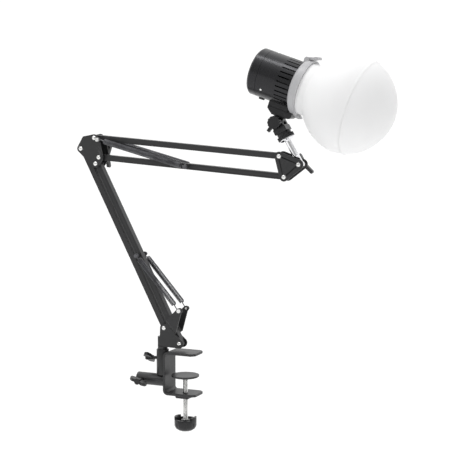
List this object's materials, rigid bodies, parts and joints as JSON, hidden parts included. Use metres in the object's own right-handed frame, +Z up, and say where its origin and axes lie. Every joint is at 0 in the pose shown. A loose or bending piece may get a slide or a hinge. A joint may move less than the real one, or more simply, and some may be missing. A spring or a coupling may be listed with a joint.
{
  "type": "clamp-on video light arm",
  "caption": "Clamp-on spring-balanced folding arm that holds a cylindrical LED lamp with a soft white globe diffuser over a desk.",
  "frame": {"origin": "where the clamp screw's axis meets the underside of the top jaw", "axes": "+Z up, +X the way the clamp jaws open and the arm reaches, +Y across the arm"},
  "size_m": [0.5341, 0.1506, 0.6113],
  "materials": {
    "black_coat": "semi-gloss powder coat",
    "bright_steel": "zinc plated",
    "chrome": "polished",
    "spring_steel": "oil blackened",
    "black_plastic": "fine texture",
    "anodised_black": "black anodised",
    "screen": "clear over black",
    "bare_aluminium": "as extruded",
    "phosphor": "coated",
    "board": "solder mask",
    "light_grey_plastic": "satin",
    "silicone": "matte translucent white"
  },
  "bodies": {
    "clamp": {"clamp_strip": "black_coat", "thread_block": "black_coat", "post_socket": "black_coat", "side_socket": "black_coat"},
    "pad": {"pressure_pad": "black_coat"},
    "screw": {"clamp_screw": "bright_steel", "clamp_knob": "black_plastic"},
    "post_wing": {"post_wing_screw": "black_plastic"},
    "side_wing": {"side_wing_screw": "black_plastic"},
    "base": {"swivel_post": "black_coat", "base_cheek_left": "black_coat", "base_cheek_right": "black_coat", "base_fasteners": "bright_steel", "lower_springs": "spring_steel"},
    "lower_rear_arm": {"lower_rear_bar": "black_coat"},
    "lower_front_arm": {"lower_front_bar": "black_coat", "lower_spring_pin": "spring_steel"},
    "elbow": {"elbow_plate_left": "black_coat", "elbow_plate_right": "black_coat", "elbow_fasteners": "bright_steel", "elbow_spacers": "bright_steel", "upper_springs": "spring_steel"},
    "elbow_nut": {"elbow_wing_nut": "black_plastic"},
    "upper_top_arm": {"upper_top_bar": "black_coat"},
    "upper_bottom_arm": {"upper_bottom_bar": "black_coat", "upper_spring_pin": "spring_steel"},
    "head_bracket": {"head_plate_left": "black_coat", "head_plate_right": "black_coat", "head_fasteners": "bright_steel", "head_spacers": "bright_steel"},
    "head_nut": {"head_wing_nut": "black_plastic"},
    "stem": {"tilt_stem": "chrome", "stem_dish": "chrome"},
    "lock_ring": {"lock_disc": "black_plastic"},
    "swivel": {"swivel_base": "black_plastic", "knuckle_bolt": "bright_steel"},
    "swivel_lock": {"swivel_knob": "black_plastic"},
    "lamp": {"rear_cap": "anodised_black", "rear_panel": "black_plastic", "display_window": "screen", "vent_housing": "anodised_black", "heat_sink": "bare_aluminium", "fan_frame": "black_plastic", "driver_board": "board", "led_board": "bare_aluminium", "led_emitter": "phosphor", "reflector": "bare_aluminium", "collar": "light_grey_plastic", "mount_shoe": "black_plastic", "swivel_tongue": "black_plastic", "dc_inlet": "black_plastic", "housing_screws": "bright_steel"},
    "dial_left": {"brightness_dial": "black_plastic"},
    "dial_right": {"color_dial": "black_plastic"},
    "button": {"power_button": "black_plastic"},
    "fan": {"fan_rotor": "black_plastic"},
    "latch": {"release_tab": "light_grey_plastic"},
    "diffuser": {"diffuser_rear": "silicone", "diffuser_front": "silicone"}
  },
  "joints": [
    {"name": "pad_travel", "type": "slide", "parent": "clamp", "child": "pad", "axis": [0, 0, 1], "range_m": [-0.02, 0.029]},
    {"name": "clamp_screw_turn", "type": "hinge", "parent": "pad", "child": "screw", "pos_m": [0, 0, -0.06], "axis": [0, 0, 1], "range_deg": [-5766, 8358]},
    {"name": "post_wing_turn", "type": "hinge", "parent": "clamp", "child": "post_wing", "pos_m": [-0.0506, 0, -0.0106], "axis": [1, 0, 0], "range_deg": [-90, 180]},
    {"name": "side_wing_turn", "type": "hinge", "parent": "clamp", "child": "side_wing", "pos_m": [-0.073, -0.01, -0.0466], "axis": [0, 1, 0], "range_deg": [-90, 180]},
    {"name": "base_swivel", "type": "hinge", "parent": "clamp", "child": "base", "pos_m": [-0.0406, 0, 0], "axis": [0, 0, 1], "continuous": true},
    {"name": "lower_arm", "type": "hinge", "parent": "base", "child": "lower_rear_arm", "pos_m": [-0.0345, 0, 0.0406], "axis": [0, 1, 0], "range_deg": [-4, 70]},
    {"name": "lower_front_pivot", "type": "hinge", "parent": "base", "child": "lower_front_arm", "pos_m": [-0.0074, 0, 0.0166], "axis": [0, 1, 0], "range_deg": [-4, 70], "deforming": ["lower_springs"]},
    {"name": "elbow_level", "type": "hinge", "parent": "lower_rear_arm", "child": "elbow", "pos_m": [-0.18279, 0, 0.32755], "axis": [0, 1, 0], "range_deg": [-70, 4]},
    {"name": "upper_arm", "type": "hinge", "parent": "elbow", "child": "upper_top_arm", "pos_m": [-0.15784, 0, 0.34525], "axis": [0, 1, 0], "range_deg": [-60, 41]},
    {"name": "upper_bottom_pivot", "type": "hinge", "parent": "elbow", "child": "upper_bottom_arm", "pos_m": [-0.14969, 0, 0.31375], "axis": [0, 1, 0], "range_deg": [-60, 41], "deforming": ["upper_springs"]},
    {"name": "head_level", "type": "hinge", "parent": "upper_top_arm", "child": "head_bracket", "pos_m": [0.16432, 0, 0.32204], "axis": [0, 1, 0], "range_deg": [-41, 60]},
    {"name": "elbow_nut_turn", "type": "hinge", "parent": "elbow", "child": "elbow_nut", "pos_m": [-0.14969, 0, 0.31375], "axis": [0, 1, 0], "range_deg": [-90, 180]},
    {"name": "head_nut_turn", "type": "hinge", "parent": "head_bracket", "child": "head_nut", "pos_m": [0.196, 0, 0.31], "axis": [0, 1, 0], "range_deg": [-90, 180]},
    {"name": "stem_tilt", "type": "hinge", "parent": "head_bracket", "child": "stem", "pos_m": [0.196, 0, 0.31], "axis": [0, 1, 0], "range_deg": [-18, 75]},
    {"name": "lock_disc_turn", "type": "hinge", "parent": "stem", "child": "lock_ring", "pos_m": [0.196, 0, 0.31], "axis": [-0.5, 0, 0.866], "range_deg": [-180, 180]},
    {"name": "lamp_pan", "type": "hinge", "parent": "stem", "child": "swivel", "pos_m": [0.196, 0, 0.31], "axis": [-0.5, 0, 0.866], "range_deg": [-110, 110]},
    {"name": "swivel_knob_turn", "type": "hinge", "parent": "swivel", "child": "swivel_lock", "pos_m": [0.15925, 0, 0.37365], "axis": [0, 1, 0], "range_deg": [-90, 90]},
    {"name": "lamp_tilt", "type": "hinge", "parent": "swivel", "child": "lamp", "pos_m": [0.15925, 0, 0.37365], "axis": [0, 1, 0], "range_deg": [-50, 8]},
    {"name": "brightness_turn", "type": "hinge", "parent": "lamp", "child": "dial_left", "pos_m": [0.12178, -0.0135, 0.44399], "axis": [0.9461, 0, -0.3239], "continuous": true},
    {"name": "color_turn", "type": "hinge", "parent": "lamp", "child": "dial_right", "pos_m": [0.12178, 0.0135, 0.44399], "axis": [0.9461, 0, -0.3239], "continuous": true},
    {"name": "power_press", "type": "slide", "parent": "lamp", "child": "button", "axis": [0.9461, 0, -0.3239], "range_m": [0, 0.0015], "stiffness_N_per_m": 900, "springref_m": -0.001},
    {"name": "fan_spin", "type": "hinge", "parent": "lamp", "child": "fan", "pos_m": [0.15308, 0, 0.44278], "axis": [0.9461, 0, -0.3239], "continuous": true},
    {"name": "latch_press", "type": "hinge", "parent": "lamp", "child": "latch", "pos_m": [0.20916, 0, 0.47073], "axis": [0, -1, 0], "range_deg": [0, 3.5], "stiffness_Nm_per_rad": 0.6, "springref_deg": -2.86},
    {"name": "diffuser_twist", "type": "hinge", "parent": "lamp", "child": "diffuser", "pos_m": [0.20039, 0, 0.42659], "axis": [0.9461, 0, -0.3239], "range_deg": [0, 25]}
  ],
  "couplings": [
    {"joint": "clamp_screw_turn", "follows": "pad_travel", "rad_per_m": 5026.5},
    {"joint": "lower_front_pivot", "follows": "lower_arm", "ratio": 1},
    {"joint": "elbow_level", "follows": "lower_arm", "ratio": -1},
    {"joint": "upper_bottom_pivot", "follows": "upper_arm", "ratio": 1},
    {"joint": "head_level", "follows": "upper_arm", "ratio": -1}
  ]
}
